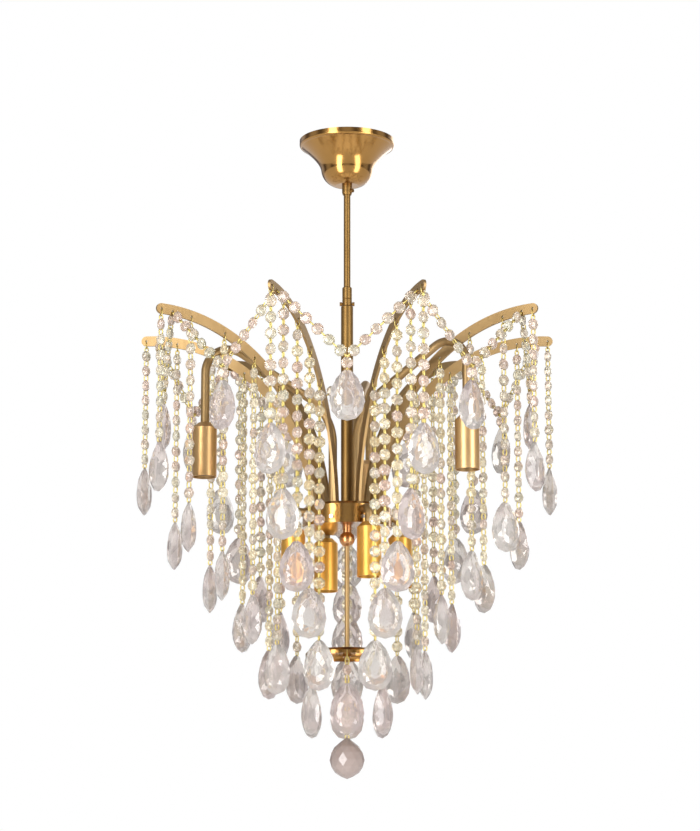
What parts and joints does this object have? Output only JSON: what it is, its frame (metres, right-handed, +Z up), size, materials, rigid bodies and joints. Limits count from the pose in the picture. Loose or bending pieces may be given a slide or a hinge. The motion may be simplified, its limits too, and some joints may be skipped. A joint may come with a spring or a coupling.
{
  "type": "crystal chandelier",
  "caption": "Gold chandelier on a telescopic column; flat curved arms carry strings of crystal beads and pear drops around downward lamp sockets.",
  "frame": {"origin": "centre of the ceiling bracket's slot pattern, on the ceiling, in the column's axis", "axes": "+Z up along the column into the ceiling; +X along the bracket; one arm points along +Y"},
  "size_m": [0.4985, 0.4939, 0.76],
  "materials": {
    "polished_gold": "polished gold plating",
    "satin_gold": "satin gold plating",
    "zinc_steel": "zinc plated",
    "crystal": "clear cut crystal with brass links",
    "plastic": "moulded, off-white",
    "socket": "moulded, dark, metal thread"
  },
  "bodies": {
    "ceiling_fixing": {"ceiling_bracket": "zinc_steel", "stem_nuts": "zinc_steel", "terminal_block": "plastic", "upper_stem": "satin_gold", "stem_stop": "zinc_steel"},
    "canopy_shell": {"canopy": "polished_gold", "canopy_collar": "polished_gold"},
    "canopy_screw": {"canopy_collar_screw": "polished_gold"},
    "clamp_screw_right": {"clamp_screw_right": "polished_gold"},
    "clamp_screw_left": {"clamp_screw_left": "polished_gold"},
    "bottom_pendant": {"bottom_pendant": "crystal"},
    "tip_strand_1": {"tip_strand_1": "crystal"},
    "tip_strand_2": {"tip_strand_2": "crystal"},
    "tip_strand_3": {"tip_strand_3": "crystal"},
    "tip_strand_4": {"tip_strand_4": "crystal"},
    "tip_strand_5": {"tip_strand_5": "crystal"},
    "tip_strand_6": {"tip_strand_6": "crystal"},
    "tip_strand_7": {"tip_strand_7": "crystal"},
    "tip_strand_8": {"tip_strand_8": "crystal"},
    "tip_strand_9": {"tip_strand_9": "crystal"},
    "column": {"clamp_collar": "polished_gold", "column_tube": "satin_gold", "arm_hub": "polished_gold", "arm_screws": "zinc_steel", "hub_base_plate": "polished_gold", "hub_ball_nut": "polished_gold", "lamp_sockets": "socket", "lower_rod": "satin_gold", "lower_plate": "polished_gold", "rod_end_nut": "polished_gold", "arm_1": "satin_gold", "arm_2": "satin_gold", "arm_3": "satin_gold", "arm_4": "satin_gold", "arm_5": "satin_gold", "arm_6": "satin_gold", "arm_7": "satin_gold", "arm_8": "satin_gold", "arm_9": "satin_gold", "upper_lamp_tube_1": "satin_gold", "upper_socket_cover_1": "polished_gold", "upper_lamp_tube_2": "satin_gold", "upper_socket_cover_2": "polished_gold", "upper_lamp_tube_3": "satin_gold", "upper_socket_cover_3": "polished_gold", "lower_lamp_tube_1": "satin_gold", "lower_socket_cover_1": "polished_gold", "lower_lamp_tube_2": "satin_gold", "lower_socket_cover_2": "polished_gold", "lower_lamp_tube_3": "satin_gold", "lower_socket_cover_3": "polished_gold", "lower_lamp_tube_4": "satin_gold", "lower_socket_cover_4": "polished_gold", "second_strands": "crystal", "third_strands": "crystal", "fourth_strands": "crystal", "inner_strands": "crystal", "swags": "crystal", "plate_drops": "crystal"}
  },
  "joints": [
    {"name": "column_slide", "type": "slide", "parent": "ceiling_fixing", "child": "column", "axis": [0, 0, 1], "range_m": [-0.05, 0.1]},
    {"name": "canopy_slide", "type": "slide", "parent": "ceiling_fixing", "child": "canopy_shell", "axis": [0, 0, 1], "range_m": [-0.1, 0]},
    {"name": "canopy_screw_turn", "type": "hinge", "parent": "canopy_shell", "child": "canopy_screw", "pos_m": [0.00613, -0.00514, -0.063], "axis": [0.766, -0.6428, 0], "range_deg": [0, 360]},
    {"name": "clamp_screw_right_turn", "type": "hinge", "parent": "column", "child": "clamp_screw_right", "pos_m": [0.007, 0, -0.2015], "axis": [1, 0, 0], "range_deg": [0, 360]},
    {"name": "clamp_screw_left_turn", "type": "hinge", "parent": "column", "child": "clamp_screw_left", "pos_m": [-0.007, 0, -0.2015], "axis": [-1, 0, 0], "range_deg": [0, 360]},
    {"name": "tip_strand_1_swing", "type": "hinge", "parent": "column", "child": "tip_strand_1", "pos_m": [0, 0.244, -0.237], "axis": [1, 0, 0], "range_deg": [-5, 45]},
    {"name": "tip_strand_2_swing", "type": "hinge", "parent": "column", "child": "tip_strand_2", "pos_m": [-0.15684, 0.18691, -0.237], "axis": [0.766, 0.6428, 0], "range_deg": [-5, 45]},
    {"name": "tip_strand_3_swing", "type": "hinge", "parent": "column", "child": "tip_strand_3", "pos_m": [-0.24029, 0.04237, -0.237], "axis": [0.1736, 0.9848, 0], "range_deg": [-5, 45]},
    {"name": "tip_strand_4_swing", "type": "hinge", "parent": "column", "child": "tip_strand_4", "pos_m": [-0.21131, -0.122, -0.237], "axis": [-0.5, 0.866, 0], "range_deg": [-5, 45]},
    {"name": "tip_strand_5_swing", "type": "hinge", "parent": "column", "child": "tip_strand_5", "pos_m": [-0.08345, -0.22928, -0.237], "axis": [-0.9397, 0.342, 0], "range_deg": [-5, 45]},
    {"name": "tip_strand_6_swing", "type": "hinge", "parent": "column", "child": "tip_strand_6", "pos_m": [0.08345, -0.22928, -0.237], "axis": [-0.9397, -0.342, 0], "range_deg": [-5, 45]},
    {"name": "tip_strand_7_swing", "type": "hinge", "parent": "column", "child": "tip_strand_7", "pos_m": [0.21131, -0.122, -0.237], "axis": [-0.5, -0.866, 0], "range_deg": [-5, 45]},
    {"name": "tip_strand_8_swing", "type": "hinge", "parent": "column", "child": "tip_strand_8", "pos_m": [0.24029, 0.04237, -0.237], "axis": [0.1736, -0.9848, 0], "range_deg": [-5, 45]},
    {"name": "tip_strand_9_swing", "type": "hinge", "parent": "column", "child": "tip_strand_9", "pos_m": [0.15684, 0.18691, -0.237], "axis": [0.766, -0.6428, 0], "range_deg": [-5, 45]},
    {"name": "bottom_pendant_swing", "type": "hinge", "parent": "column", "child": "bottom_pendant", "pos_m": [0, 0, -0.6235], "axis": [0, 1, 0], "range_deg": [-8, 8]}
  ]
}
